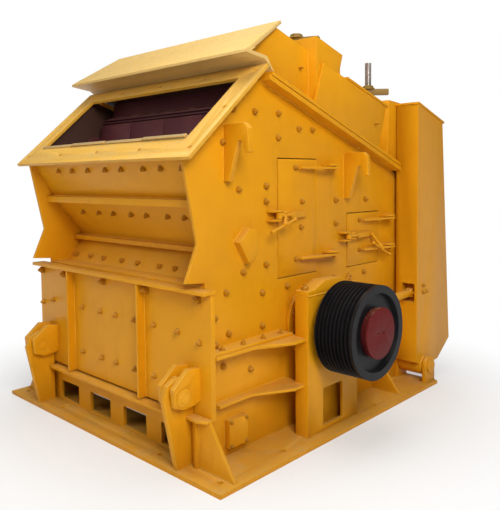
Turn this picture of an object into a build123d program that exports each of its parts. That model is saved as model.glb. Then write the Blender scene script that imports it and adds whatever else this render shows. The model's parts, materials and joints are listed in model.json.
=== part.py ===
# Horizontal shaft impact crusher, real size in millimetres
# X runs along the rotor shaft with the drive side at +X, Y from feed side to rear, Z up
import os
from math import atan2, cos, degrees, radians, sin

from build123d import *

os.makedirs("parts", exist_ok=True)


def save(solid, name):
    solid.label = name
    export_step(solid, f"parts/{name}.step")


# Rotor
shaft_y = -87.0
shaft_z = 689.0
shaft_radius = 90.0
rotor_half = 745.0
disc_radius = 545.0
bar_reach = 80.0

# Widths, built up from the rotor outwards
side_clear = 47.0
liner_thick = 30.0
wall_thick = 25.0
wall_inner = rotor_half + side_clear + liner_thick
wall_outer = wall_inner + wall_thick
flange_reach = 83.0
flange_half = wall_outer + flange_reach
ped_space = 113.0
ped_width = 100.0
ped_inner = wall_outer + ped_space
ped_outer = ped_inner + ped_width
base_margin = 85.0
base_width = 2 * (ped_outer + base_margin)

# Shared sizes
base_length = 2372.0
base_thick = 25.0
deck_z = 650.0
rib_thick = 20.0
gap = 6.0
fit = 0.05

# Base bolt holes
hole_radius = 16.5
corner_x = base_width / 2 - 95
corner_y = base_length / 2 - 89
end_x = 550.0
side_reach = 496.0

# Bearing pedestals along the shaft line
ped_front = -355.0
ped_rear = 181.0
ped_top = 905.0
seat_z = 440.0

# Discharge opening through the base
discharge_half = wall_inner - 42
discharge_front = -800.0
discharge_rear = 880.0

# Feed flange plane, its foot and its slope
feed_foot_y = -1190.0
feed_foot_z = 1741.0
feed_slope = 41.66
feed_length = 830.0
feed_half = wall_outer + 93
feed_open = wall_inner - 37
feed_inner_low = 160.0
feed_inner_high = 715.0
feed_thick = 20.0
feed_hole_pitch = (feed_half - 60) / 2
feed_hole_low = 80.0
feed_hole_high = 770.0

# Roof seam, where the rear housing parts from the fixed walls
seam_y = -556.0
seam_z = 2240.0
seam_slope = 0.348
seam_angle = degrees(atan2(seam_slope, 1))
wall_rear = 1075.0

# Front door and its hinge
door_half = flange_half
door_back = -1005.0
door_thick = 30.0
door_low = 300.0
door_high = 1000.0
front_pin_y = -1155.0
front_pin_z = 445.0
pin_radius = 35.0

# Brackets of the front hinge, between the lugs of the door
bracket_inner = wall_inner - 77
bracket_thick = 40.0
bracket_outer = bracket_inner + bracket_thick
lug_thick = 35.0

# Rear hinge
rear_pin_y = 1120.0
rear_pin_z = 149.0
box_inner = wall_outer + 33
box_width = 183.0
box_outer = box_inner + box_width

# Opening cylinders between the side boxes and the pedestals
cyl_x = box_inner + 105
cyl_end_y = 1035.0
cyl_end_z = 725.0
rod_foot_y = 250.0
rod_foot_z = 700.0
barrel_radius = 30.0
rod_radius = 20.0
box_front = 1000.0
pocket_inner = cyl_x - 55
pocket_outer = cyl_x + 55

# Drive sheave and the disc on its hub
sheave_inner = ped_outer + 63
sheave_width = 265.0
sheave_outer = sheave_inner + sheave_width
sheave_radius = 288.0
web_recess = 30.0
cap_face = sheave_outer - 1

# Inspection doors in the drive side wall
hinge_x = wall_outer + 58
upper_door = (-380.0, 12.0, 1002.0, 1746.0, 140.0)
lower_door = (372.0, 790.0, 990.0, 1368.0, 872.0)
upper_arms = (1107.0, 1692.0)
lower_arms = (1098.0, 1316.0)


def seam(y):
    return seam_z - seam_slope * (y - seam_y)


def feed_point(along, out=0.0):
    a = radians(feed_slope)
    y = feed_foot_y + along * cos(a) - out * sin(a)
    z = feed_foot_z + along * sin(a) + out * cos(a)
    return (y, z)


# Base plate with its discharge opening and bolt holes
with BuildPart() as base_plate:
    with BuildSketch():
        Rectangle(base_width, base_length)
        with Locations((0, (discharge_front + discharge_rear) / 2)):
            Rectangle(2 * discharge_half, discharge_rear - discharge_front, mode=Mode.SUBTRACT)
        with GridLocations(2 * corner_x, 2 * corner_y, 2, 2):
            Circle(hole_radius, mode=Mode.SUBTRACT)
        with GridLocations(2 * end_x, 2 * corner_y, 2, 2):
            Circle(hole_radius, mode=Mode.SUBTRACT)
        with Locations((0, shaft_y)):
            with GridLocations(2 * corner_x, 2 * side_reach, 2, 2):
                Circle(hole_radius, mode=Mode.SUBTRACT)
    extrude(amount=base_thick)
save(base_plate.part, "base_plate")

# Front beam under the door, with four windows and a flange on top
beam_y = -1020.0
beam_top = 285.0
with BuildPart() as front_beam:
    with BuildSketch(Plane.XZ.offset(-beam_y)):
        with Locations((0, (base_thick + beam_top) / 2)):
            Rectangle(2 * wall_inner, beam_top - base_thick)
        with Locations((0, 105)):
            with GridLocations(388, 10, 4, 1):
                Rectangle(240, 130, mode=Mode.SUBTRACT)
    extrude(amount=-25)
    with BuildSketch(Plane.XY.offset(beam_top - 20)):
        with Locations((0, -1035)):
            Rectangle(2 * 735, 110)
    extrude(amount=20)
save(front_beam.part, "front_beam")

# Rear beam of the base
rear_beam_y = 1000.0
with BuildPart() as rear_beam:
    with BuildSketch(Plane.YZ.offset(-wall_inner)):
        with BuildLine():
            Polyline(
                (rear_beam_y, base_thick), (rear_beam_y + 25, base_thick),
                (rear_beam_y + 25, 610), (rear_beam_y + 70, 610), (rear_beam_y + 70, 630),
                (rear_beam_y - 60, 630), (rear_beam_y - 60, 610), (rear_beam_y, 610), close=True)
        make_face()
    extrude(amount=2 * wall_inner)
save(rear_beam.part, "rear_beam")

# Side walls of the base, relieved behind the front door where its foot swings in
door_swing = ((front_pin_y - door_back) ** 2 + (front_pin_z - door_low) ** 2) ** 0.5 + gap
with BuildPart() as base_wall:
    with BuildSketch(Plane.YZ.offset(wall_inner)):
        with BuildLine():
            Polyline(
                (-1000, base_thick), (1070, base_thick), (1070, deck_z - rib_thick),
                (-1000, deck_z - rib_thick), close=True)
        make_face()
        with Locations((front_pin_y, front_pin_z)):
            Circle(door_swing, mode=Mode.SUBTRACT)
        with Locations((shaft_y, shaft_z)):
            Circle(130, mode=Mode.SUBTRACT)
    extrude(amount=wall_thick)
base_wall_left = mirror(base_wall.part, about=Plane.YZ)
save(base_wall.part, "base_wall_right")
save(base_wall_left, "base_wall_left")

# Upper flange and lower rib of each base side, flaring out to the bearing pedestal
with BuildPart() as side_ribs:
    with BuildSketch(Plane.XY.offset(deck_z - rib_thick)):
        with BuildLine():
            Polyline(
                (wall_inner, -1000), (wall_outer + 88, -1000), (wall_outer + 93, -700),
                (ped_outer - 10, -470), (ped_outer - 10, ped_front), (ped_inner, ped_front),
                (ped_inner, ped_rear), (ped_inner - 2, 300), (wall_outer + 93, 520),
                (wall_outer + 13, 560), (wall_outer + 13, 1070), (wall_inner, 1070), close=True)
        make_face()
        with Locations((wall_outer + 64, shaft_y)):
            Rectangle(128, 480, mode=Mode.SUBTRACT)
        with Locations((wall_outer, shaft_y)):
            Rectangle(100, 270, mode=Mode.SUBTRACT)
    extrude(amount=rib_thick)
    with BuildSketch(Plane.XY.offset(340)):
        with BuildLine():
            Polyline(
                (wall_outer, -950), (wall_outer + 58, -950), (wall_outer + 58, -680),
                (ped_outer - 30, -450), (ped_outer - 30, ped_front), (ped_inner, ped_front),
                (ped_inner, ped_front + 35), (wall_outer, ped_front + 35), close=True)
        make_face()
    extrude(amount=16)
side_ribs_left = mirror(side_ribs.part, about=Plane.YZ)
save(side_ribs.part, "side_ribs_right")
save(side_ribs_left, "side_ribs_left")

# Gussets at the four corners and behind the pedestals
with BuildPart() as gussets:
    for y, start, reach, top in (
            (-1060, bracket_outer, base_width / 2 - 25, 300), (700, wall_outer, base_width / 2 - 55, 230)):
        with BuildSketch(Plane.XZ.offset(-y)):
            with BuildLine():
                Polyline(
                    (start, base_thick), (reach, base_thick), (reach - 20, base_thick + 20),
                    (flange_half, top), (start, top), close=True)
            make_face()
        extrude(amount=-20)
    with BuildSketch(Plane.XY.offset(300)):
        with BuildLine():
            Polyline(
                (bracket_outer, -1105), (wall_outer + 33, -1110), (flange_half + 5, -1080),
                (flange_half + 5, -1040), (bracket_outer, -1040), close=True)
        make_face()
    extrude(amount=14)
    with BuildSketch(Plane.YZ.offset(wall_inner)):
        with BuildLine():
            Polyline((-1080, base_thick), (-1000, base_thick), (-1000, 280), (-1080, 300), close=True)
        make_face()
    extrude(amount=wall_thick)
gussets_left = mirror(gussets.part, about=Plane.YZ)

# Bearing pedestals, open boxes with a window low in the outer plate
with BuildPart() as pedestal:
    with BuildSketch(Plane.XY.offset(base_thick)):
        with Locations(((ped_inner + ped_outer) / 2, shaft_y)):
            Rectangle(ped_outer - ped_inner, ped_rear - ped_front)
            Rectangle(ped_outer - ped_inner - 40, ped_rear - ped_front - 40, mode=Mode.SUBTRACT)
    extrude(amount=ped_top - base_thick)
    with BuildSketch(Plane.XY.offset(seat_z - 25)):
        with Locations(((ped_inner + ped_outer) / 2, shaft_y)):
            Rectangle(ped_outer - ped_inner, ped_rear - ped_front)
    extrude(amount=25)
    with BuildSketch(Plane.YZ.offset(ped_outer - 20)):
        with Locations((-95, 180)):
            Rectangle(210, 240)
    extrude(amount=20, mode=Mode.SUBTRACT)
    with BuildSketch(Plane.YZ.offset(ped_inner)):
        with Locations((shaft_y, shaft_z)):
            Circle(130)
    extrude(amount=ped_outer - ped_inner, mode=Mode.SUBTRACT)
pedestal_left = mirror(pedestal.part, about=Plane.YZ)
save(pedestal.part, "bearing_pedestal_right")
save(pedestal_left, "bearing_pedestal_left")

# Lugs behind the pedestals, beside the feet of the cylinder rods
with BuildPart() as anchor:
    with BuildSketch(Plane.YZ.offset(cyl_x + 22)):
        with BuildLine():
            Polyline(
                (ped_rear, 655), (rod_foot_y + 20, 655), (rod_foot_y + 45, 690), (rod_foot_y + 30, 745),
                (ped_rear, 780), close=True)
        make_face()
    extrude(amount=22)
save(anchor.part + mirror(anchor.part, about=Plane.YZ), "cylinder_anchors")

# Bearing housings, seated in the pedestals with the cap above them
with BuildPart() as bearing_housing:
    with BuildSketch(Plane.YZ.offset(ped_inner + 20)):
        with BuildLine():
            Polyline(
                (ped_front + 20, seat_z), (ped_rear - 20, seat_z), (ped_rear - 20, ped_top),
                (ped_front + 20, ped_top), close=True)
        make_face()
    extrude(amount=ped_outer - ped_inner - 40)
    with BuildSketch(Plane.YZ.offset(ped_inner)):
        with BuildLine():
            Polyline(
                (ped_front, ped_top), (ped_rear, ped_top), (ped_rear, ped_top + 30),
                (ped_rear - 70, ped_top + 34), (shaft_y + 90, 985), (shaft_y - 90, 985),
                (ped_front + 70, ped_top + 34), (ped_front, ped_top + 30), close=True)
        make_face()
    extrude(amount=ped_outer - ped_inner)
    with BuildSketch(Plane.YZ.offset(ped_inner)):
        with Locations((shaft_y, shaft_z)):
            Circle(120)
    extrude(amount=ped_outer - ped_inner)
    with BuildSketch(Plane.YZ.offset(ped_inner)):
        with Locations((shaft_y, shaft_z)):
            Circle(shaft_radius + fit)
    extrude(amount=ped_outer - ped_inner, mode=Mode.SUBTRACT)
bearing_housing_left = mirror(bearing_housing.part, about=Plane.YZ)
save(bearing_housing.part, "bearing_housing_right")
save(bearing_housing_left, "bearing_housing_left")

# Upper side walls with their doorways and the shaft opening
wall_top = 30.0
wall_outline = (
    (-1000, deck_z), (wall_rear, deck_z), (wall_rear, seam(wall_rear) - wall_top),
    (-560, seam(-560) - wall_top), (-600, 2232), (-1150, 1742), (-1049, 1269),
    (-1139, 1063), (-1000, 1050))
with BuildPart() as side_wall:
    with BuildSketch(Plane.YZ.offset(wall_inner)):
        with BuildLine():
            Polyline(*wall_outline, close=True)
        make_face()
        for front, rear, low, high, hinge in (upper_door, lower_door):
            with Locations(((front + rear) / 2, (low + high) / 2)):
                Rectangle(rear - front + 2 * gap, high - low + 2 * gap, mode=Mode.SUBTRACT)
        with Locations((shaft_y, shaft_z)):
            Circle(130, mode=Mode.SUBTRACT)
    extrude(amount=wall_thick)
    with BuildSketch(Plane.XY.offset(deck_z)):
        with BuildLine():
            Polyline(
                (wall_outer, -1000), (wall_outer + 78, -1000), (wall_outer + 85, -700),
                (wall_outer + 98, ped_front - 65), (wall_outer + 98, ped_front - 5),
                (wall_outer, ped_front - 5), close=True)
        make_face()
        with BuildLine():
            Polyline(
                (wall_outer, ped_rear + 19), (wall_outer + 98, ped_rear + 19), (wall_outer + 85, 500),
                (wall_outer + 10, 560), (wall_outer, 560), close=True)
        make_face()
    extrude(amount=rib_thick)
side_wall_left = mirror(side_wall.part, about=Plane.YZ)
save(side_wall.part, "side_wall_right")
save(side_wall_left, "side_wall_left")

# Sloped flange along the top of each side wall
flange_front = -540.0
flange_rear = 985.0
with BuildPart() as seam_flange:
    with BuildSketch(Plane.YZ.offset(wall_inner)):
        with BuildLine():
            Polyline(
                (flange_front, seam(flange_front)), (flange_rear, seam(flange_rear)),
                (flange_rear, seam(flange_rear) - wall_top),
                (flange_front, seam(flange_front) - wall_top), close=True)
        make_face()
    extrude(amount=flange_half - wall_inner)
seam_flange_left = mirror(seam_flange.part, about=Plane.YZ)
save(seam_flange.part, "seam_flange_right")
save(seam_flange_left, "seam_flange_left")

# Recessed front wall, folded inwards below the feed opening
with BuildPart() as front_wall:
    with BuildSketch(Plane.YZ.offset(-wall_inner)):
        with BuildLine():
            Polyline(
                (-1120, 1740), (-970, 1495), (-765, 1245), (-752, 1175), (-872, 1030), (-1000, 1030),
                (-1000, 1010), (-862, 1010), (-730, 1170), (-742, 1250), (-950, 1505), (-1090, 1740),
                close=True)
        make_face()
    extrude(amount=2 * wall_inner)
save(front_wall.part, "front_wall")

# Stiffening ribs across the front wall
with BuildPart() as front_ribs:
    with BuildSketch(Plane.YZ.offset(-wall_inner)):
        with BuildLine():
            Polyline((-1030, 1466), (-935, 1462), (-962, 1500), (-975, 1512), (-1030, 1508), close=True)
        make_face()
        with BuildLine():
            Polyline((-815, 1182), (-745, 1180), (-748, 1215), (-815, 1211), close=True)
        make_face()
    extrude(amount=2 * wall_inner)
save(front_ribs.part - front_wall.part, "front_wall_ribs")

# Feed flange with its bolt holes
feed_plane = Plane(
    origin=(0, *feed_point(0)), x_dir=(1, 0, 0),
    z_dir=(0, -sin(radians(feed_slope)), cos(radians(feed_slope))))
with BuildPart() as feed_frame:
    with BuildSketch(feed_plane):
        with Locations((0, feed_length / 2)):
            Rectangle(2 * feed_half, feed_length)
        with Locations((0, (feed_inner_low + feed_inner_high) / 2)):
            Rectangle(2 * feed_open, feed_inner_high - feed_inner_low, mode=Mode.SUBTRACT)
        with Locations((0, (feed_hole_low + feed_hole_high) / 2)):
            with GridLocations(feed_hole_pitch, feed_hole_high - feed_hole_low, 5, 2):
                Circle(13, mode=Mode.SUBTRACT)
            with GridLocations(4 * feed_hole_pitch, 10, 2, 1):
                Circle(13, mode=Mode.SUBTRACT)
    extrude(amount=-feed_thick)
save(feed_frame.part, "feed_frame")

# Wear plates along the low edge of the feed opening, their ends standing just proud
lip_thick = 25.0
lip_count = 4
lip_width = 2 * feed_open / lip_count
with BuildPart() as feed_lip:
    for k, proud in enumerate((6, 11, 8, 14)):
        with BuildSketch(Plane.YZ.offset(k * lip_width - feed_open + 3)):
            with BuildLine():
                Polyline(
                    feed_point(feed_inner_low, -40), feed_point(feed_inner_low, proud),
                    feed_point(feed_inner_low + lip_thick, proud), feed_point(feed_inner_low + lip_thick, -40),
                    close=True)
            make_face()
        extrude(amount=lip_width - 6)
save(feed_lip.part, "feed_lip_plates")

# Wear liners inside the side walls
with BuildPart() as side_liner:
    with BuildSketch(Plane.YZ.offset(wall_inner - liner_thick)):
        with BuildLine():
            Polyline(
                (-700, 120), (900, 120), (900, 1500), (-400, 1950), (-640, 1950), (-1020, 1700),
                (-720, 1280), (-710, 1150), (-840, 1000), (-840, 680), (-700, 560), close=True)
        make_face()
        for front, rear, low, high, hinge in (upper_door, lower_door):
            with Locations(((front + rear) / 2, (low + high) / 2)):
                Rectangle(rear - front + 2 * gap, high - low + 2 * gap, mode=Mode.SUBTRACT)
        with Locations((shaft_y, shaft_z)):
            Circle(130, mode=Mode.SUBTRACT)
    extrude(amount=liner_thick)
side_liner_left = mirror(side_liner.part, about=Plane.YZ)
save(side_liner.part, "side_liner_right")
save(side_liner_left, "side_liner_left")

# Shaft seal rings on the outside of the walls
with BuildPart() as seal_ring:
    with BuildSketch(Plane.YZ.offset(wall_outer)):
        with Locations((shaft_y, shaft_z)):
            Circle(225)
            Circle(105, mode=Mode.SUBTRACT)
    extrude(amount=25)
seal_ring_left = mirror(seal_ring.part, about=Plane.YZ)
save(seal_ring.part + seal_ring_left, "shaft_seal_rings")

# Lifting hooks, flat plates standing out from the side walls
with BuildPart() as lifting_hook:
    for y, top in ((-850, 1930), (330, 1800)):
        with BuildSketch(Plane.XZ.offset(-y)):
            with BuildLine():
                Polyline(
                    (wall_outer, top - 320), (wall_outer, top - 10), (wall_outer + 25, top),
                    (wall_outer + 165, top), (wall_outer + 192, top - 30), (wall_outer + 200, top - 160),
                    (wall_outer + 168, top - 165), (wall_outer + 148, top - 100),
                    (wall_outer + 118, top - 95), (wall_outer + 102, top - 125),
                    (wall_outer + 45, top - 320), close=True)
            make_face()
        extrude(amount=-35)
lifting_hook_left = mirror(lifting_hook.part, about=Plane.YZ)
save(lifting_hook.part + lifting_hook_left, "lifting_hooks")

# Thick angular pads on the side walls
with BuildPart() as wall_pad:
    with BuildSketch(Plane.YZ.offset(wall_outer)):
        with BuildLine():
            Polyline((-778, 1260), (-692, 1337), (-628, 1324), (-624, 1195), (-692, 1127), close=True)
        make_face()
    extrude(amount=55)
wall_pad_left = mirror(wall_pad.part, about=Plane.YZ)
save(wall_pad.part + wall_pad_left, "wall_pads")

# Bolted access boxes low on the base walls
with BuildPart() as access_box:
    with BuildSketch(Plane.YZ.offset(wall_outer)):
        with Locations((-790, 160)):
            Rectangle(150, 165)
    extrude(amount=45)
access_box_left = mirror(access_box.part, about=Plane.YZ)
save(access_box.part + access_box_left, "access_covers")

# Brackets and pins of the front door hinge
with BuildPart() as front_bracket:
    with BuildSketch(Plane.YZ.offset(bracket_inner)):
        with BuildLine():
            Polyline(
                (-1163, base_thick), (-1045, base_thick), (-1045, 265), (-1045, 420),
                (-1080, 520), (-1150, 545), (-1225, 510), (-1250, 440), close=True)
        make_face()
        with Locations((front_pin_y, front_pin_z)):
            Circle(pin_radius, mode=Mode.SUBTRACT)
    extrude(amount=bracket_thick)
front_bracket_left = mirror(front_bracket.part, about=Plane.YZ)
save(front_bracket.part + front_bracket_left, "front_hinge_brackets")

with BuildPart() as front_pin:
    with BuildSketch(Plane.YZ.offset(bracket_inner - 50)):
        with Locations((front_pin_y, front_pin_z)):
            Circle(pin_radius)
    extrude(amount=bracket_thick + 110)
front_pin_left = mirror(front_pin.part, about=Plane.YZ)
save(front_pin.part + front_pin_left, "front_hinge_pins")

# Brackets and pins of the rear housing hinge
with BuildPart() as rear_bracket:
    with BuildSketch(Plane.YZ.offset(box_outer + 22)):
        with Locations((rear_pin_y, rear_pin_z)):
            Circle(75)
        with Locations((rear_pin_y, (base_thick + rear_pin_z) / 2)):
            Rectangle(150, rear_pin_z - base_thick)
        with Locations((rear_pin_y, rear_pin_z)):
            Circle(pin_radius, mode=Mode.SUBTRACT)
    extrude(amount=30)
    with BuildSketch(Plane.YZ.offset(wall_outer)):
        with Locations((rear_pin_y, rear_pin_z)):
            Circle(75)
        with Locations((rear_pin_y, (base_thick + rear_pin_z) / 2)):
            Rectangle(150, rear_pin_z - base_thick)
        with Locations((rear_pin_y, rear_pin_z)):
            Circle(pin_radius, mode=Mode.SUBTRACT)
    extrude(amount=25)
rear_bracket_left = mirror(rear_bracket.part, about=Plane.YZ)
save(rear_bracket.part + rear_bracket_left, "rear_hinge_brackets")

with BuildPart() as rear_pin:
    with BuildSketch(Plane.YZ.offset(wall_outer)):
        with Locations((rear_pin_y, rear_pin_z)):
            Circle(pin_radius)
    extrude(amount=box_outer + 57 - wall_outer)
    with BuildSketch(Plane.YZ.offset(box_outer + 52)):
        with Locations((rear_pin_y, rear_pin_z)):
            Circle(52)
    extrude(amount=15)
rear_pin_left = mirror(rear_pin.part, about=Plane.YZ)
save(rear_pin.part + rear_pin_left, "rear_hinge_pins")
save(gussets.part + gussets_left, "base_gussets")

# Rotor shaft, stepped up between the walls
with BuildPart() as rotor_shaft:
    with BuildSketch(Plane.YZ.offset(-ped_outer - 25)):
        with Locations((shaft_y, shaft_z)):
            Circle(shaft_radius)
    extrude(amount=ped_outer + 25 + cap_face)
    with BuildSketch(Plane.YZ.offset(-rotor_half)):
        with Locations((shaft_y, shaft_z)):
            Circle(140)
    extrude(amount=2 * rotor_half)
save(rotor_shaft.part, "rotor_shaft")

# Rotor discs, notched for the four blow bars
disc_thick = 60.0
disc_pitch = (2 * rotor_half - disc_thick) / 4
with BuildPart() as rotor_discs:
    for k in range(5):
        with BuildSketch(Plane.YZ.offset(k * disc_pitch - rotor_half)):
            with Locations((shaft_y, shaft_z)):
                Circle(disc_radius)
                Circle(140, mode=Mode.SUBTRACT)
                with PolarLocations(disc_radius - 40, 4):
                    Rectangle(150, 90, mode=Mode.SUBTRACT)
        extrude(amount=disc_thick)
save(rotor_discs.part, "rotor_discs")

with BuildPart() as blow_bars:
    with BuildSketch(Plane.YZ.offset(-rotor_half)):
        with Locations((shaft_y, shaft_z)):
            with PolarLocations(disc_radius + (bar_reach - 115) / 2, 4):
                Rectangle(bar_reach + 115, 90)
    extrude(amount=2 * rotor_half)
save(blow_bars.part, "blow_bars")

# Grooved drive sheave and the disc on its hub
groove_count = 9
groove_pitch = 27.0
with BuildPart() as drive_sheave:
    with BuildSketch(Plane.XY) as sheave_profile:
        with BuildLine():
            Polyline(
                (sheave_inner, shaft_radius), (sheave_outer - web_recess, shaft_radius),
                (sheave_outer - web_recess, 230), (sheave_outer, 240), (sheave_outer, sheave_radius),
                (sheave_inner, sheave_radius), close=True)
        make_face()
        for k in range(groove_count):
            x = sheave_inner + 17 + k * groove_pitch
            with BuildLine():
                Polyline(
                    (x - 11, sheave_radius), (x + 11, sheave_radius), (x + 6, sheave_radius - 20),
                    (x - 6, sheave_radius - 20), close=True)
            make_face(mode=Mode.SUBTRACT)
    revolve(axis=Axis.X, revolution_arc=360)
drive_sheave_part = Pos(0, shaft_y, shaft_z) * drive_sheave.part
save(drive_sheave_part, "drive_sheave")

with BuildPart() as sheave_cap:
    with BuildSketch(Plane.YZ.offset(cap_face)):
        with Locations((shaft_y, shaft_z)):
            Circle(156)
            with GridLocations(60, 10, 2, 1):
                Circle(9, mode=Mode.SUBTRACT)
    extrude(amount=20)
    with BuildSketch(Plane.YZ.offset(sheave_outer - web_recess)):
        with Locations((shaft_y, shaft_z)):
            Circle(150)
            Circle(shaft_radius, mode=Mode.SUBTRACT)
    extrude(amount=cap_face - sheave_outer + web_recess)
save(sheave_cap.part, "sheave_hub_cap")

# Front door, its ribs and ledge, and its hinge lugs
with BuildPart() as front_door:
    with BuildSketch(Plane.XZ.offset(-door_back)):
        with Locations((0, (door_low + door_high) / 2)):
            Rectangle(2 * door_half, door_high - door_low)
    extrude(amount=door_thick)
save(front_door.part, "front_door")

door_face = door_back - door_thick
with BuildPart() as door_ribs:
    for x in (-470, 330):
        with BuildSketch(Plane.XZ.offset(-door_face)):
            with Locations((x, (door_low + door_high) / 2)):
                Rectangle(16, door_high - door_low)
        extrude(amount=55)
    with BuildSketch(Plane.YZ.offset(-door_half - 8)):
        with BuildLine():
            Polyline(
                (door_back, door_high), (door_back, door_high + 20), (door_face - 60, door_high + 20),
                (door_face - 60, door_high), close=True)
        make_face()
    extrude(amount=2 * door_half + 16)
save(door_ribs.part, "front_door_ribs")

with BuildPart() as door_lug:
    for x in (bracket_inner - 15 - lug_thick, bracket_outer + 15):
        with BuildSketch(Plane.YZ.offset(x)):
            with BuildLine():
                Polyline(
                    (door_face, 395), (door_face, 580), (-1120, 590), (-1225, 500), (-1215, 400),
                    (-1150, 375), (-1080, 380), close=True)
            make_face()
            with Locations((front_pin_y, front_pin_z)):
                Circle(pin_radius + fit, mode=Mode.SUBTRACT)
        extrude(amount=lug_thick)
door_lug_left = mirror(door_lug.part, about=Plane.YZ)
save(door_lug.part + door_lug_left, "front_door_lugs")


# Inspection doors, flush plates with strap arms out to their hinge posts
def door_parts(size, arm_heights):
    front, rear, low, high, hinge = size
    with BuildPart() as plate:
        with BuildSketch(Plane.YZ.offset(wall_outer - 22)):
            with Locations(((front + rear) / 2, (low + high) / 2)):
                Rectangle(rear - front, high - low)
        extrude(amount=25)
        for z in arm_heights:
            with BuildSketch(Plane.XY.offset(z - 7)):
                with BuildLine():
                    Polyline(
                        (wall_outer + 3, hinge - 330), (hinge_x - 20, hinge - 330),
                        (hinge_x + 28, hinge - 60), (hinge_x + 28, hinge + 28),
                        (hinge_x - 20, hinge + 28), (hinge_x - 20, rear - 40),
                        (wall_outer + 3, rear - 60), close=True)
                make_face()
                with Locations((hinge_x, hinge)):
                    Circle(11 + fit, mode=Mode.SUBTRACT)
            extrude(amount=14)
    with BuildPart() as post:
        for z in arm_heights:
            with BuildSketch(Plane.XY.offset(z + 12)):
                with BuildLine():
                    Polyline(
                        (wall_outer, hinge - 70), (hinge_x + 10, hinge - 60), (hinge_x + 25, hinge - 25),
                        (hinge_x + 25, hinge + 25), (wall_outer, hinge + 70), close=True)
                make_face()
            extrude(amount=14)
            with BuildSketch(Plane.XY.offset(z - 26)):
                with Locations((hinge_x, hinge)):
                    Circle(11)
            extrude(amount=52)
    with BuildPart() as clamp:
        middle = (low + high) / 2 + 20
        with BuildSketch(Plane.XY.offset(middle - 30)):
            with BuildLine():
                Polyline(
                    (wall_outer + 3, front + 10), (wall_outer + 3, front + 70), (wall_outer + 60, front + 60),
                    (wall_outer + 75, front - 50), (wall_outer + 45, front - 60),
                    (wall_outer + 40, front + 5), close=True)
            make_face()
        extrude(amount=60)
        with BuildSketch(Plane.YZ.offset(wall_outer + 60)):
            with Locations((front - 20, middle)):
                Circle(14)
        extrude(amount=90)
        with BuildSketch(Plane.XZ.offset(-(front - 60))):
            with Locations((wall_outer + 140, middle)):
                Circle(10)
        extrude(amount=-230)
    return plate.part, post.part, clamp.part


upper_plate, upper_post, upper_clamp = door_parts(upper_door, upper_arms)
lower_plate, lower_post, lower_clamp = door_parts(lower_door, lower_arms)
save(upper_plate, "upper_inspection_door")
save(upper_clamp, "upper_door_clamp")
save(lower_plate, "lower_inspection_door")
save(lower_clamp, "lower_door_clamp")
save(upper_post + lower_post, "inspection_hinge_posts")
with BuildPart() as hinge_bushes:
    for heights, hinge in ((upper_arms, upper_door[4]), (lower_arms, lower_door[4])):
        for z in heights:
            with BuildSketch(Plane.XY.offset(z - 26)):
                with Locations((hinge_x, hinge)):
                    Circle(16)
            extrude(amount=52)
near_doors = upper_plate + upper_clamp + upper_post + lower_plate + lower_clamp + lower_post
save(mirror(near_doors + hinge_bushes.part, about=Plane.YZ), "far_side_doors")

# Roof of the rear housing, lying just above the sloped flanges
roof_front = -515.0
roof_rear = 1130.0
tail_half = box_inner - 10
front_side = wall_inner - 12
beam_half = flange_half - 25
side_plate = 25.0
deck_low = gap / cos(radians(seam_angle))
deck_high = deck_low + 24
with BuildPart() as roof_deck:
    with BuildSketch(Plane.YZ.offset(-flange_half)):
        with BuildLine():
            Polyline(
                (roof_front, seam(roof_front) + deck_low), (roof_front, seam(roof_front) + deck_high),
                (985, seam(985) + deck_high), (985, seam(985) + deck_low), close=True)
        make_face()
    extrude(amount=2 * flange_half)
    with BuildSketch(Plane.YZ.offset(-tail_half)):
        with BuildLine():
            Polyline(
                (985, seam(985) + deck_low), (985, seam(985) + deck_high),
                (roof_rear, seam(roof_rear) + deck_high), (roof_rear, seam(roof_rear) + deck_low),
                close=True)
        make_face()
    extrude(amount=2 * tail_half)
save(roof_deck.part, "roof_deck")


def roof_point(y, up):
    return (y, seam(y) + deck_high + up)


hood_y = 350.0
hood_rise = 222.0
hood_taper = 75.0
with BuildPart() as roof_sides:
    with BuildSketch(Plane.YZ.offset(front_side)):
        with BuildLine():
            Polyline(
                roof_point(-505, 0), roof_point(-58, 0), roof_point(-58, 355), (-372, 2548), (-690, 2354),
                (-560, 2338), (-515, 2275), close=True)
        make_face()
    extrude(amount=side_plate)
    with BuildSketch(Plane.YZ.offset(beam_half)):
        with BuildLine():
            Polyline(roof_point(-98, 0), roof_point(661, 0), roof_point(756, 332), roof_point(-12, 286), close=True)
        make_face()
    extrude(amount=side_plate)
    with BuildSketch(Plane.YZ.offset(beam_half - 60)):
        with BuildLine():
            Polyline(roof_point(250, 302), roof_point(776, 333), roof_point(776, 349), roof_point(250, 318), close=True)
        make_face()
    extrude(amount=60 + side_plate + 8)

with BuildPart() as roof_beams:
    with BuildSketch(Plane.YZ.offset(-beam_half)):
        with BuildLine():
            Polyline(
                roof_point(-58, 0), roof_point(-58, 440), roof_point(235, 460), roof_point(205, 356),
                roof_point(205, 0), close=True)
        make_face()
    extrude(amount=2 * beam_half)
    with BuildSketch(Plane.YZ.offset(-beam_half)):
        with BuildLine():
            Polyline(roof_point(601, 0), roof_point(661, 0), roof_point(756, 332), roof_point(696, 328), close=True)
        make_face()
    extrude(amount=2 * beam_half)
    with BuildSketch(Plane.YZ.offset(-tail_half)):
        with BuildLine():
            Polyline(roof_point(880, 0), roof_point(1040, 0), (1060, 2205), (900, 2215), close=True)
        make_face()
    extrude(amount=2 * tail_half)
save(roof_beams.part, "roof_beams")


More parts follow.
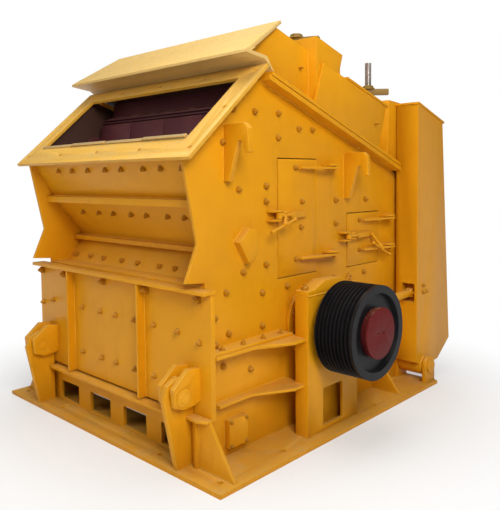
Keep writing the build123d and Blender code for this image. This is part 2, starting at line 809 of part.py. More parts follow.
# Hood above the feed opening
with BuildPart() as feed_hood:
    with BuildSketch(Plane.YZ.offset(5 - flange_half)):
        with BuildLine():
            Polyline(
                (-738, 2354), (-738, 2338), (-580, 2318), (-540, 2290), roof_point(-510, 0),
                roof_point(-495, 0), (-515, 2275), (-560, 2338), (-690, 2354),
                (-690 + hood_y, 2354 + hood_rise), (-700 + hood_y, 2372 + hood_rise), close=True)
        make_face()
    extrude(amount=2 * (flange_half - 5))
    with BuildSketch(Plane.XY.offset(2376)):
        for side in (-1, 1):
            hood_end = side * (flange_half - 5)
            with BuildLine():
                Polyline(
                    (hood_end, -700), (hood_end - side * hood_taper, -700 + hood_y), (hood_end - side * hood_taper, -200),
                    (hood_end + side * 20, -200), (hood_end + side * 20, -700), close=True)
            make_face()
    extrude(amount=300, mode=Mode.SUBTRACT)
save(feed_hood.part, "feed_hood")
side_plates = roof_sides.part - roof_beams.part - feed_hood.part
save(side_plates + mirror(side_plates, about=Plane.YZ), "roof_side_plates")

# Rear wall of the moving housing
with BuildPart() as rear_wall:
    with BuildSketch(Plane.YZ.offset(-tail_half)):
        with BuildLine():
            Polyline(
                (1085, 665), (1110, 665), (1110, seam(1110) + deck_low), (1085, seam(1085) + deck_low),
                close=True)
        make_face()
    extrude(amount=2 * tail_half)
save(rear_wall.part, "rear_wall")

# Tall side boxes of the rear housing, bored for the hinge pins
with BuildPart() as side_box:
    with BuildSketch(Plane.YZ.offset(box_inner)):
        with BuildLine():
            Polyline(
                (box_front, 190), (box_front, 2175), (1400, 2055), (1552, 285), (1350, 150), (1120, 130), close=True)
        make_face()
        with Locations((rear_pin_y, rear_pin_z)):
            Circle(75)
            Circle(pin_radius + fit, mode=Mode.SUBTRACT)
    extrude(amount=box_outer - box_inner)
    with BuildSketch(Plane.YZ.offset(box_outer)):
        with Locations((rear_pin_y, rear_pin_z)):
            Circle(75)
            Circle(pin_radius + fit, mode=Mode.SUBTRACT)
    extrude(amount=15)
    with BuildSketch(Plane.YZ.offset(box_inner - 10)):
        with BuildLine():
            Polyline((992, 2177), (992, 2192), (1412, 2066), (1412, 2051), close=True)
        make_face()
    extrude(amount=box_width + 20)
    with BuildSketch(Plane.YZ.offset(pocket_inner)):
        with Locations((box_front + 42, 730)):
            Rectangle(84, 144)
    extrude(amount=pocket_outer - pocket_inner, mode=Mode.SUBTRACT)
    with BuildSketch(Plane.YZ.offset(pocket_inner)):
        with Locations((cyl_end_y, cyl_end_z)):
            Circle(15)
    extrude(amount=pocket_outer - pocket_inner)
side_box_left = mirror(side_box.part, about=Plane.YZ)
save(side_box.part, "side_box_right")
save(side_box_left, "side_box_left")

# Cross beams that join the rear wall to the side boxes
with BuildPart() as rear_frame:
    with BuildSketch(Plane.YZ.offset(-box_inner)):
        with Locations((1195, 800), (1195, 1500)):
            Rectangle(170, 120)
    extrude(amount=2 * box_inner)
save(rear_frame.part, "rear_cross_beams")

# Adjusting spindles of the impact aprons, with their crossbars
spindle_x = 620.0
spindle_radius = 26.0
spindle_seats = ((90.0, 2440.0, 2545.0, 2620.0, 24.0), (1000.0, 2190.0, 2285.0, 2540.0, 41.0))
with BuildPart() as spindles:
    for x in (-spindle_x, spindle_x):
        for y, foot, bar, top, turn in spindle_seats:
            with BuildSketch(Plane.XY.offset(foot)):
                with Locations((x, y)):
                    Circle(spindle_radius)
            extrude(amount=top - foot)
save(spindles.part - roof_beams.part, "apron_spindles")

with BuildPart() as crossbars:
    for x in (-spindle_x, spindle_x):
        for y, foot, bar, top, turn in spindle_seats:
            with BuildSketch(Plane.XY.offset(bar)):
                with Locations(Location((x, y), turn)):
                    Rectangle(320, 60)
                with Locations((x, y)):
                    Circle(spindle_radius, mode=Mode.SUBTRACT)
            extrude(amount=45)
save(crossbars.part, "spindle_crossbars")

# Impact apron hanging from the roof, with ridges and two rows of wear blocks towards the feed
apron_half = wall_inner - 52
block_count = 4
block_width = 2 * apron_half / block_count
apron_foot = (-592.0, 1720.0)
apron_lean = 0.156


def apron_face(z):
    return apron_foot[0] + (z - apron_foot[1]) * apron_lean


with BuildPart() as impact_apron:
    with BuildSketch(Plane.YZ.offset(-apron_half)):
        with BuildLine():
            Polyline(
                (-460, seam(-460) + deck_low), (-480, 2110), (apron_face(2086), 2086), apron_foot, (-330, 1400),
                (-250, 1420), (-480, 1740), (-430, 2080), (-380, seam(-380) + deck_low), close=True)
        make_face()
        for z in (2056, 2078):
            with Locations((apron_face(z) - 5, z)):
                Rectangle(40, 10)
    extrude(amount=2 * apron_half)
    for k in range(block_count):
        with BuildSketch(Plane.YZ.offset(k * block_width - apron_half + 4)):
            for low, high in ((1898, 2040), (1740, 1884)):
                with BuildLine():
                    Polyline(
                        (apron_face(low) + 20, low), (apron_face(low) - 38, low), (apron_face(high) - 45, high - 12),
                        (apron_face(high) - 36, high), (apron_face(high) + 20, high), close=True)
                make_face()
        extrude(amount=block_width - 8)
save(impact_apron.part, "impact_apron")

# Opening cylinders, barrels pinned in the side boxes with rods towards the pedestals
cyl_tilt = degrees(atan2(cyl_end_z - rod_foot_z, cyl_end_y - rod_foot_y))
cyl_length = ((cyl_end_z - rod_foot_z) ** 2 + (cyl_end_y - rod_foot_y) ** 2) ** 0.5
cyl_plane = Plane(
    origin=(cyl_x, cyl_end_y, cyl_end_z), x_dir=(1, 0, 0),
    z_dir=(0, -cos(radians(cyl_tilt)), -sin(radians(cyl_tilt))))
with BuildPart() as barrel:
    with BuildSketch(Plane.YZ.offset(cyl_x - 25)):
        with Locations((cyl_end_y, cyl_end_z)):
            Circle(34)
            Circle(15 + fit, mode=Mode.SUBTRACT)
    extrude(amount=50)
    with BuildSketch(cyl_plane.offset(28)):
        Circle(barrel_radius)
    extrude(amount=540)
    with BuildSketch(cyl_plane.offset(50)):
        Circle(rod_radius)
    extrude(amount=540, mode=Mode.SUBTRACT)
with BuildPart() as rod:
    with BuildSketch(cyl_plane.offset(60)):
        Circle(rod_radius - fit)
    extrude(amount=cyl_length - 60 - 35)
    with BuildSketch(Plane.YZ.offset(cyl_x - 15)):
        with Locations((rod_foot_y, rod_foot_z)):
            Circle(42)
    extrude(amount=30)
    with BuildSketch(Plane.YZ.offset(cyl_x - 19)):
        with Locations((rod_foot_y, rod_foot_z)):
            Circle(20)
    extrude(amount=36)
save(barrel.part, "cylinder_barrel_right")
save(mirror(barrel.part, about=Plane.YZ), "cylinder_barrel_left")
save(rod.part, "cylinder_rod_right")
save(mirror(rod.part, about=Plane.YZ), "cylinder_rod_left")
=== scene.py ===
import json
import math

import bmesh
import bpy
from mathutils import Matrix, Vector


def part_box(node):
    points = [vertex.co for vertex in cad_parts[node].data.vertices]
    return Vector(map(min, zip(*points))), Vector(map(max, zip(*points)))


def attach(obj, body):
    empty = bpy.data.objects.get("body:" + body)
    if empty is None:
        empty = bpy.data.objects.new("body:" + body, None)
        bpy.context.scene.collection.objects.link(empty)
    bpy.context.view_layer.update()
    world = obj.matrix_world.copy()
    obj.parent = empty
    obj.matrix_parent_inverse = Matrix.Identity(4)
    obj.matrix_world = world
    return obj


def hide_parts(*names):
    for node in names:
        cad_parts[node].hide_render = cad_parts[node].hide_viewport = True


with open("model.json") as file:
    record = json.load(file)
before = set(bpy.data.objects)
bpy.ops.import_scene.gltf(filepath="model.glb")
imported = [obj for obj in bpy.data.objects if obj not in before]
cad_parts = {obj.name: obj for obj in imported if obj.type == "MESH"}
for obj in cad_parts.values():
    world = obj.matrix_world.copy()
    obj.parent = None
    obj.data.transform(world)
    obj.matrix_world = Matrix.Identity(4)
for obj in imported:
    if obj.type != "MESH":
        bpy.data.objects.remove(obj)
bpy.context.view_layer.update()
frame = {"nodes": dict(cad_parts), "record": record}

scene = bpy.context.scene
nodes = frame["nodes"]
nodeSlot = {part["node"]: part["material_slot"] for part in frame["record"]["subparts"]}
bodyOf = {node: body for body, members in frame["record"]["behaviour"]["bodies"].items() for node in members}
print("frame loaded:", len(nodes), "nodes")


def addNode(tree, kind, settings=None, inputs=None):
    # settings first, then a value or a link for each input, by its name, identifier or number
    made = tree.nodes.new(kind)
    for key, value in (settings or {}).items():
        setattr(made, key, value)
    for key, value in (inputs or {}).items():
        socket = made.inputs[key] if isinstance(key, int) else next(
            s for s in made.inputs if key in (s.identifier, s.name) and s.enabled)
        if isinstance(value, Wire):
            value = value.socket
        if isinstance(value, bpy.types.NodeSocket):
            tree.links.new(value, socket)
        elif socket.type == "RGBA":
            socket.default_value = (*value, 1)
        else:
            socket.default_value = value
    return made


class Wire:
    # a number on its way through a node tree, so that maths reads as maths
    def __init__(self, tree, socket):
        self.tree, self.socket = tree, socket

    def maths(self, operation, *values):
        made = addNode(self.tree, "ShaderNodeMath", {"operation": operation}, dict(enumerate(values)))
        return Wire(self.tree, made.outputs[0])

    def __add__(self, other):
        return self.maths("ADD", self, other)

    def __radd__(self, other):
        return self.maths("ADD", other, self)

    def __sub__(self, other):
        return self.maths("SUBTRACT", self, other)

    def __rsub__(self, other):
        return self.maths("SUBTRACT", other, self)

    def __mul__(self, other):
        return self.maths("MULTIPLY", self, other)

    def __rmul__(self, other):
        return self.maths("MULTIPLY", other, self)

    def __abs__(self):
        return self.maths("ABSOLUTE", self)


class Finish:
    # one material: a Principled shader with the patterns that feed it
    def __init__(self, name, **constants):
        self.material = bpy.data.materials.new(name)
        self.material.use_nodes = True
        self.tree = self.material.node_tree
        self.shader = self.tree.nodes["Principled BSDF"]
        for key, value in constants.items():
            self.shader.inputs[key.replace("_", " ")].default_value = value
        coordinates = self.tree.nodes.new("ShaderNodeTexCoord")
        self.point = coordinates.outputs["Object"]
        self.normal = coordinates.outputs["Normal"]

    def node(self, kind, settings, inputs, output=0):
        made = addNode(self.tree, kind, settings, inputs)
        return Wire(self.tree, made.outputs[output])

    def noise(self, scale, detail, stretch=None):
        place = self.point
        if stretch:
            place = self.node("ShaderNodeMapping", None, {"Vector": place, "Scale": stretch})
        return self.node("ShaderNodeTexNoise", None, {"Vector": place, "Scale": scale, "Detail": detail})

    def step(self, value, low, high):
        return self.node("ShaderNodeMapRange", {"interpolation_type": "SMOOTHSTEP"},
                         {"Value": value, "From Min": low, "From Max": high})

    def mix(self, amount, first, second):
        return self.node("ShaderNodeMix", {"data_type": "RGBA"},
                         {"Factor_Float": amount, "A_Color": first, "B_Color": second}, 2)

    def along(self, vector, axis):
        return self.node("ShaderNodeSeparateXYZ", None, {"Vector": vector}, "XYZ".index(axis))

    def bump(self, height, strength, distance):
        return self.node("ShaderNodeBump", None, {"Height": height, "Strength": strength, "Distance": distance})

    def feed(self, **wires):
        for key, wire in wires.items():
            self.tree.links.new(wire.socket, self.shader.inputs[key.replace("_", " ")])
        return self.material


# painted shade: a near-black colour laid on the inner faces of the housing and on faces under the roof, where
# shade falls, told from the outer paint by its place, in metres
shadedInnerFaces = {
    "wallEdge": (0.8225, 0.8245),       # X where the side wall turns from inner to outer face
    "roofEdge": (0.8190, 0.8225),       # the same for the roof plate
    "frontSlope": 0.717,                # the folded front wall's line: Y + slope * Z = start
    "frontStart": 0.153,
    "frontFeather": 0.02,
    "underside": (-0.6, -0.3),          # how far down a face looks when it is under the roof
}


def insideWalls(f):
    inner = 1 - f.step(abs(f.along(f.point, "X")), *shadedInnerFaces["wallEdge"])
    behind = f.along(f.point, "Y") + f.along(f.point, "Z") * shadedInnerFaces["frontSlope"] - shadedInnerFaces["frontStart"]
    return inner * f.step(behind, 0.0, shadedInnerFaces["frontFeather"])


def shadeUnderRoof(f):
    inner = 1 - f.step(abs(f.along(f.point, "X")), *shadedInnerFaces["roofEdge"])
    return inner * (1 - f.step(f.along(f.normal, "Z"), *shadedInnerFaces["underside"]))


paintTones = {
    "deep": (0.62, 0.255, 0.003),       # yellow in the hollows of the coat
    "light": (0.78, 0.345, 0.006),      # yellow where it is thick and clean
    "topLightTone": (0.74, 0.46, 0.10),        # painted light: paler yellow on what faces up, for the light from above
    "grime": (0.13, 0.060, 0.012),      # oily dirt near the foot and in runs
    "dust": (0.46, 0.34, 0.17),
    "inside": (0.030, 0.014, 0.018),    # painted shade inside the housing and under the roof
    "primer": (0.17, 0.055, 0.025),     # what shows where the coat has chipped
}
coatGrain = {
    # how many of each pattern lie in a metre, or nearly so
    "patches": 1.1, "mottle": 7.5, "fine": 60.0, "runs": 5.0,
    "chips": 95.0, "chipZones": 11.0, "peel": 320.0, "waves": 3.0,
}
dirtShares = {"foot": 0.42, "runs": 0.16, "spots": 0.12}


def paintCoat(name, deep, light, wear=0.4, dust=0.5, topLight=0.3, rough=0.42,
              coat=0.04, shine=0.20, inside=None):
    f = Finish(name, Coat_Weight=coat, Coat_Roughness=0.25, Specular_IOR_Level=shine)
    patches = f.noise(coatGrain["patches"], 2)
    mottle = f.noise(coatGrain["mottle"], 4)
    fine = f.noise(coatGrain["fine"], 3)
    runs = f.step(f.noise(coatGrain["runs"], 3, (4.0, 4.0, 0.35)), 0.56, 0.78)
    foot = 1 - f.step(f.along(f.point, "Z") + mottle * 0.25, 0.05, 0.55)
    spots = f.step(mottle, 0.58, 0.8)
    up = f.step(f.along(f.normal, "Z"), 0.35, 0.95)
    colour = f.mix(patches * 0.45 + mottle * 0.55, deep, light)
    # painted light: faces turned up are paled, as if lit from above
    colour = f.mix(up * topLight, colour, paintTones["topLightTone"])
    dirt = (foot * dirtShares["foot"] + runs * dirtShares["runs"] + spots * dirtShares["spots"]) * wear
    colour = f.mix(dirt, colour, paintTones["grime"])
    settled = f.step(mottle * 0.5 + fine * 0.5, 0.42, 0.66) * up * dust
    colour = f.mix(settled * 0.6, colour, paintTones["dust"])
    cells = f.node("ShaderNodeTexVoronoi", None, {"Vector": f.point, "Scale": coatGrain["chips"]})
    chips = (1 - f.step(cells, 0.05, 0.16)) * f.step(f.noise(coatGrain["chipZones"], 4), 0.60, 0.74) * wear
    colour = f.mix(chips, colour, paintTones["primer"])
    # painted shade: the masked inner faces and roof undersides turn near black
    if inside:
        colour = f.mix(inside(f) * 0.96, colour, paintTones["inside"])
    relief = f.noise(coatGrain["peel"], 2) + f.noise(coatGrain["waves"], 2) * 6.0 - chips * 2.0
    roughness = fine * 0.16 + dirt * 0.5 + settled * 0.3 + (rough - 0.06)
    return f.feed(Base_Color=colour, Roughness=roughness, Normal=f.bump(relief, 0.22, 0.0006))


fullYellow = {"deep": paintTones["deep"], "light": paintTones["light"]}
coats = {
    "yellow": dict(name="cast_yellow_paint", **fullYellow),
    "wall": dict(name="side_wall_paint_with_inner_shade", **fullYellow, inside=insideWalls),
    "roof": dict(name="roof_plate_paint_with_under_shade", **fullYellow, inside=shadeUnderRoof),
    # painted light: the hood and the feed frame get paler tones and more top paling, for the light from above
    "hood": dict(name="hood_paint_with_painted_top_light", deep=(0.60, 0.38, 0.11), light=(0.76, 0.53, 0.20),
                 dust=0.7, topLight=0.5),
    "flange": dict(name="feed_frame_paint_with_painted_top_light", deep=(0.60, 0.29, 0.02), light=(0.76, 0.42, 0.06),
                   dust=0.6, topLight=0.6),
    "edge": dict(name="yellow_paint_on_edges", deep=(0.64, 0.28, 0.005), light=(0.80, 0.38, 0.012), wear=0.9),
    # painted shade: the nut paint is much darker than the walls, for the shade round the nuts, besides heavier
    # wear
    "nut": dict(name="nut_paint_darkened_as_shade", deep=(0.34, 0.130, 0.004), light=(0.60, 0.26, 0.007),
                wear=1.0, rough=0.44),
    "brown": dict(name="brown_bar_paint", deep=(0.19, 0.115, 0.02), light=(0.33, 0.20, 0.04),
                  wear=0.7, topLight=0.1, rough=0.5),
    "maroon": dict(name="maroon_liner_paint", deep=(0.060, 0.014, 0.018), light=(0.115, 0.027, 0.033),
                   wear=0.6, topLight=0.0, rough=0.5),
    "red": dict(name="dark_red_hub_paint", deep=(0.10, 0.011, 0.011), light=(0.15, 0.019, 0.018),
                wear=0.5, topLight=0.0, rough=0.5, coat=0.0, shine=0.08),
    "lip": dict(name="scoured_lip_paint", deep=(0.24, 0.17, 0.08), light=(0.42, 0.33, 0.18),
                wear=0.8, topLight=0.2, rough=0.5),
}
paint = {key: paintCoat(**values) for key, values in coats.items()}

sheaveTones = {
    "deep": (0.004, 0.004, 0.005), "light": (0.012, 0.012, 0.014),
    "worn": (0.030, 0.029, 0.028), "dust": (0.10, 0.08, 0.055),
}


def sheavePaint():
    f = Finish("black_sheave_paint", Specular_IOR_Level=0.16)
    mottle = f.noise(9.0, 4)
    fine = f.noise(80.0, 3)
    rings = f.noise(3.0, 4, (60.0, 1.0, 1.0))      # wear that follows the grooves
    colour = f.mix(mottle * 0.6 + fine * 0.4, sheaveTones["deep"], sheaveTones["light"])
    colour = f.mix(f.step(rings, 0.62, 0.80) * 0.3, colour, sheaveTones["worn"])
    dust = f.step(f.along(f.normal, "Z"), 0.2, 1.0) * f.step(mottle, 0.40, 0.70)
    colour = f.mix(dust * 0.18, colour, sheaveTones["dust"])
    roughness = 0.30 + fine * 0.22 + dust * 0.2
    return f.feed(Base_Color=colour, Roughness=roughness, Normal=f.bump(fine, 0.25, 0.0008))


rustTone = (0.13, 0.05, 0.02)
metals = {
    # stretch draws the tool marks out, rust is the share that is stained
    "shaft": dict(name="turned_shaft_steel", bright=(0.62, 0.60, 0.57), dull=(0.36, 0.35, 0.34),
                  stretch=(8.0, 1.0, 1.0), rust=0.25),
    "iron": dict(name="worn_cast_iron", bright=(0.30, 0.28, 0.27), dull=(0.12, 0.11, 0.105),
                 stretch=(1.0, 1.0, 6.0), rust=0.5),
}


def bareMetal(name, bright, dull, stretch, rust):
    f = Finish(name)
    turned = f.noise(40.0, 4, stretch)
    mottle = f.noise(14.0, 4)
    colour = f.mix(turned * 0.6 + mottle * 0.4, dull, bright)
    stain = f.step(f.noise(6.0, 5), 0.60 - rust * 0.3, 0.78)
    colour = f.mix(stain * 0.8, colour, rustTone)
    roughness = 0.26 + turned * 0.2 + stain * 0.35
    return f.feed(Base_Color=colour, Metallic=1 - stain * 0.9, Roughness=roughness,
                  Normal=f.bump(turned, 0.3, 0.0005))


metal = {key: bareMetal(**values) for key, values in metals.items()}
slotFinish = {
    "yellow_paint": paint["yellow"], "black_paint": sheavePaint(), "red_paint": paint["red"],
    "maroon_paint": paint["maroon"], "brown_paint": paint["brown"],
    "bare_steel": metal["shaft"], "wear_iron": metal["iron"],
}
ownFinish = {
    # nodes with a paint of their own: the scoured lip, painted top light on the hood and the feed frame, and
    # painted shade inside the side walls and under the roof
    "feed_lip_plates": paint["lip"], "feed_hood": paint["hood"], "feed_frame": paint["flange"],
    "roof_deck": paint["roof"], "side_wall_left": paint["wall"], "side_wall_right": paint["wall"],
}
for name, node in nodes.items():
    node.data.materials.clear()
    node.data.materials.append(ownFinish.get(name, slotFinish[nodeSlot[name]]))
print("finishes made")


def link(obj):
    scene.collection.objects.link(obj)
    return obj


def settle(obj):
    # turns the modifiers into a plain mesh and takes them off
    bpy.context.view_layer.update()
    graph = bpy.context.evaluated_depsgraph_get()
    mesh = bpy.data.meshes.new_from_object(obj.evaluated_get(graph))
    obj.modifiers.clear()
    obj.data = mesh
    return obj


def seat(obj, body):
    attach(obj, body)


def meshPiece(name, bm, finish):
    mesh = bpy.data.meshes.new(name)
    bmesh.ops.recalc_face_normals(bm, faces=bm.faces)
    bm.to_mesh(mesh)
    bm.free()
    mesh.materials.append(finish)
    return link(bpy.data.objects.new(name, mesh))


def prism(bm, outline, bottom, top):
    # a level plate from its (X, Y) outline, in millimetres
    lower = [bm.verts.new(Vector((x, y, bottom)) / 1000) for x, y in outline]
    upper = [bm.verts.new(Vector((x, y, top)) / 1000) for x, y in outline]
    bm.faces.new(lower)
    bm.faces.new(upper[::-1])
    for k in range(len(outline)):
        n = (k + 1) % len(outline)
        bm.faces.new((lower[k], upper[k], upper[n], lower[n]))


def rod(bm, start, stop, profile, sides=24):
    # a turned bar between two points, in millimetres: profile is (share of the way, radius)
    a, b = Vector(start) / 1000, Vector(stop) / 1000
    way = (b - a).normalized()
    side = way.orthogonal().normalized()
    other = way.cross(side)
    rings = []
    for share, radius in profile:
        centre = a.lerp(b, share)
        rings.append([bm.verts.new(centre + (side * math.cos(t) + other * math.sin(t)) * radius / 1000)
                      for t in (2 * math.pi * k / sides for k in range(sides))])
    for one, two in zip(rings, rings[1:]):
        for k in range(sides):
            n = (k + 1) % sides
            bm.faces.new((one[k], one[n], two[n], two[k]))
    bm.faces.new(rings[0][::-1])
    bm.faces.new(rings[-1])


# the CAD plates, with their sheared edges broken
edgeWork = {
    "width": 2.2,           # millimetres taken off each sharp edge
    "segments": 2,
    "sharp": 35,            # degrees between faces from which an edge is broken
    "flat": 0.6,            # degrees within which faces are one plate face
    "merge": 1e-5,
    "tolerance": 0.0015,    # metres a copy may reach past its node's box
}
keptPlain = {
    "rotor_shaft", "blow_bars", "rotor_discs", "side_liner_left", "side_liner_right", "drive_sheave",
    "apron_spindles", "upper_door_clamp", "lower_door_clamp", "cylinder_rod_left", "cylinder_rod_right",
}


def rounded(obj, width):
    bevel = obj.modifiers.new("edges", "BEVEL")
    bevel.width = width / 1000
    bevel.segments = edgeWork["segments"]
    bevel.limit_method = "ANGLE"
    bevel.angle_limit = math.radians(edgeWork["sharp"])
    bevel.use_clamp_overlap = True
    bevel.harden_normals = True
    return bevel


def brokenEdges(name):
    ownPaint = nodes[name].data.materials[0]
    bm = bmesh.new()
    bm.from_mesh(nodes[name].data)
    bmesh.ops.remove_doubles(bm, verts=bm.verts, dist=edgeWork["merge"])
    bmesh.ops.dissolve_limit(bm, angle_limit=math.radians(edgeWork["flat"]), verts=bm.verts, edges=bm.edges)
    mesh = bpy.data.meshes.new(name + "_finished")
    bm.to_mesh(mesh)
    bm.free()
    for polygon in mesh.polygons:
        polygon.use_smooth = True
    mesh.materials.append(ownPaint)
    mesh.materials.append(paint["edge"] if nodeSlot[name] == "yellow_paint" else ownPaint)
    piece = link(bpy.data.objects.new(name + "_finished", mesh))
    rounded(piece, edgeWork["width"]).material = 1
    settle(piece)
    low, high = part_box(name)
    points = [v.co for v in piece.data.vertices]
    past = max(max(low[i] - min(p[i] for p in points), max(p[i] for p in points) - high[i]) for i in range(3))
    if past > edgeWork["tolerance"]:
        print("kept plain:", name, round(past, 4))
        bpy.data.objects.remove(piece)
        return
    seat(piece, bodyOf[name])
    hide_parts(name)


for name in sorted(nodes):
    if name not in keptPlain:
        brokenEdges(name)
print("plate edges broken")


def newTree(name, shape):
    # a node group with a named input for each size
    tree = bpy.data.node_groups.new(name, "GeometryNodeTree")
    sizes = [(label, "Int" if label == "Seed" else "Float") for label in shape]
    for label, kind in [("Geometry", "Geometry"), *sizes, ("Finish", "Material")]:
        tree.interface.new_socket(label, in_out="INPUT", socket_type="NodeSocket" + kind)
    tree.interface.new_socket("Geometry", in_out="OUTPUT", socket_type="NodeSocketGeometry")
    return tree, tree.nodes.new("NodeGroupInput").outputs


def endTree(tree, made, finish):
    real = addNode(tree, "GeometryNodeRealizeInstances", None, {"Geometry": made.outputs[0]})
    painted = addNode(tree, "GeometryNodeSetMaterial", None, {"Geometry": real.outputs[0], "Material": finish})
    tree.links.new(painted.outputs[0], tree.nodes.new("NodeGroupOutput").inputs[0])
    return tree


def grown(name, mesh, tree, values):
    # runs a tree on a mesh and keeps what it makes as a plain mesh
    obj = link(bpy.data.objects.new(name, mesh))
    modifier = obj.modifiers.new("made", "NODES")
    modifier.node_group = tree
    for item in tree.interface.items_tree:
        if item.in_out == "INPUT" and item.name in values:
            modifier[item.identifier] = values[item.name]
    return settle(obj)


nutShape = {
    "Nut Height": 0.52,     # all as shares of the nut's width over its corners
    "Washer Width": 1.28,
    "Washer Height": 0.10,
    "Stud Width": 0.52,
    "Stud Height": 0.30,
    "Seed": 7,
}


def nutTree():
    tree, given = newTree("nuts_on_points", nutShape)
    size = {label: Wire(tree, given[label]) for label in nutShape}
    deck = size["Washer Height"]
    shoulder = deck + size["Nut Height"] * 0.78
    crown = deck + size["Nut Height"]
    layers = [
        # sides, radius at the foot and at the top, height of the foot and of the top
        (20, size["Washer Width"] * 0.5, size["Washer Width"] * 0.48, 0.0, deck),
        (6, 0.5, 0.5, deck, shoulder),
        (6, 0.5, 0.43, shoulder, crown),
        (12, size["Stud Width"] * 0.5, size["Stud Width"] * 0.42, crown, crown + size["Stud Height"]),
    ]
    joined = tree.nodes.new("GeometryNodeJoinGeometry")
    for sides, bottom, top, lower, upper in layers:
        cone = addNode(tree, "GeometryNodeMeshCone", {"fill_type": "NGON"}, {
            "Vertices": sides, "Radius Top": top, "Radius Bottom": bottom, "Depth": upper - lower})
        shift = addNode(tree, "ShaderNodeCombineXYZ", None, {"Z": lower})
        layer = addNode(tree, "GeometryNodeTransform", None, {
            "Geometry": cone.outputs["Mesh"], "Translation": shift.outputs[0]})
        tree.links.new(layer.outputs[0], joined.inputs[0])
    facing = addNode(tree, "GeometryNodeInputNamedAttribute", {"data_type": "FLOAT_VECTOR"}, {"Name": "facing"})
    width = addNode(tree, "GeometryNodeInputNamedAttribute", {"data_type": "FLOAT"}, {"Name": "nutWidth"})
    aligned = addNode(tree, "FunctionNodeAlignRotationToVector", {"axis": "Z"}, {"Vector": facing.outputs[0]})
    angle = addNode(tree, "FunctionNodeRandomValue", {"data_type": "FLOAT"}, {"Max": 1.047, "Seed": given["Seed"]})
    spin = addNode(tree, "FunctionNodeAxisAngleToRotation", None, {"Axis": (0, 0, 1), "Angle": angle.outputs[1]})
    turn = addNode(tree, "FunctionNodeRotateRotation", {"rotation_space": "LOCAL"}, {
        "Rotation": aligned.outputs[0], "Rotate By": spin.outputs[0]})
    placed = addNode(tree, "GeometryNodeInstanceOnPoints", None, {
        "Points": given["Geometry"], "Instance": joined.outputs[0],
        "Rotation": turn.outputs[0], "Scale": width.outputs[0]})
    return endTree(tree, placed, given["Finish"])


nuts = nutTree()
nutList = {}
drivenSide, bothSides = (1,), (1, -1)


def addNuts(body, facing, width, points):
    nutList.setdefault(body, []).extend((point, facing, width) for point in points)


def plantNuts(name, body, shape=nutShape, finish=paint["nut"]):
    places = nutList.pop(body)
    mesh = bpy.data.meshes.new(name)
    mesh.from_pydata([Vector(point) / 1000 for point, facing, width in places], [], [])
    way = mesh.attributes.new("facing", "FLOAT_VECTOR", "POINT")
    way.data.foreach_set("vector", [v for point, facing, width in places for v in facing])
    size = mesh.attributes.new("nutWidth", "FLOAT", "POINT")
    size.data.foreach_set("value", [width / 1000 for point, facing, width in places])
    seat(grown(name, mesh, nuts, {**shape, "Finish": finish}), body)


# faces that nuts and welds stand on, in millimetres
wallFace = 847              # X of a side wall's outer face
roofFace = 835              # X of a roof side plate's outer face
plateTop = 25               # Z of the base plate's top
doorFace = -1035            # Y of the front door's face


def seamHeight(y, above):
    # the slanted seam between the fixed walls and the rear housing
    return 2240 - 0.348 * (y + 556) + above


# nuts on the X faces: (Y, Z) of each, for the sides that have them
sideNuts = {
    "liners": {
        "body": "frame", "sides": bothSides, "face": wallFace, "width": 33, "points": [
            (-771, 2021), (-591, 2020), (-378, 2023), (-178, 1939), (-36, 1940), (-380, 1873), (-857, 1831),
            (-732, 1562), (-494, 1579), (-495, 1485), (-701, 1075), (-499, 1100), (-843, 974), (-537, 933),
            (-935, 843), (-826, 737), (-539, 730), (-930, 690), (210, 935), (388, 922), (583, 930),
            (-301, 942), (228, 1471), (228, 1308), (601, 1466), (-873, 555), (-646, 487), (780, 560),
            (560, 480)]},
    "upperDoor": {
        "body": "upper_door_body", "sides": drivenSide, "face": wallFace + 3, "width": 30,
        "points": [(-149, 1473), (-161, 1309), (-214, 1692), (-214, 1107)]},
    "lowerDoor": {
        "body": "lower_door_body", "sides": drivenSide, "face": wallFace + 3, "width": 28,
        "points": [(520, 1316), (520, 1098)]},
}
for row in sideNuts.values():
    for side in row["sides"]:
        addNuts(row["body"], (side, 0, 0), row["width"], [(side * row["face"], y, z) for y, z in row["points"]])

frontNuts = {
    "doorWidth": 31,
    "door": [(-747, 758), (-353, 758), (-135, 758), (38, 758), (238, 758), (430, 758), (652, 755),
             (-738, 450), (-357, 448), (-128, 448), (38, 450), (232, 448), (430, 449), (-890, 722), (838, 722)],
    "topWidth": 44,
    "doorTop": [(-890, 962), (-580, 962), (-98, 962), (360, 960), (824, 962)],
    "rowWidth": 32,
    # rows on the folded wall under the feed opening: height, then the X of each nut
    "rows": [(1688, (-528, -352, -162, 40, 209, 428, 592, 775)), (1400, (-550, -349, -171, 30, 191, 404, 562)),
             (1068, (-735, -545, -376, -158, 20, 253, 404))],
    # (Y, Z) of the folds, from the top down
    "folds": [(-1120, 1740), (-970, 1495), (-765, 1245), (-752, 1175), (-872, 1030)],
}
for width, points in (("doorWidth", "door"), ("topWidth", "doorTop")):
    addNuts("front_door_body", (0, -1, 0), frontNuts[width], [(x, doorFace, z) for x, z in frontNuts[points]])
folds = frontNuts["folds"]
for z, places in frontNuts["rows"]:
    (y0, z0), (y1, z1) = next(pair for pair in zip(folds, folds[1:]) if pair[1][1] <= z <= pair[0][1])
    y = y0 + (y1 - y0) * (z0 - z) / (z0 - z1)
    out = Vector((0, z1 - z0, y0 - y1)).normalized()
    addNuts("frame", tuple(out), frontNuts["rowWidth"], [(x, y, z) for x in places])

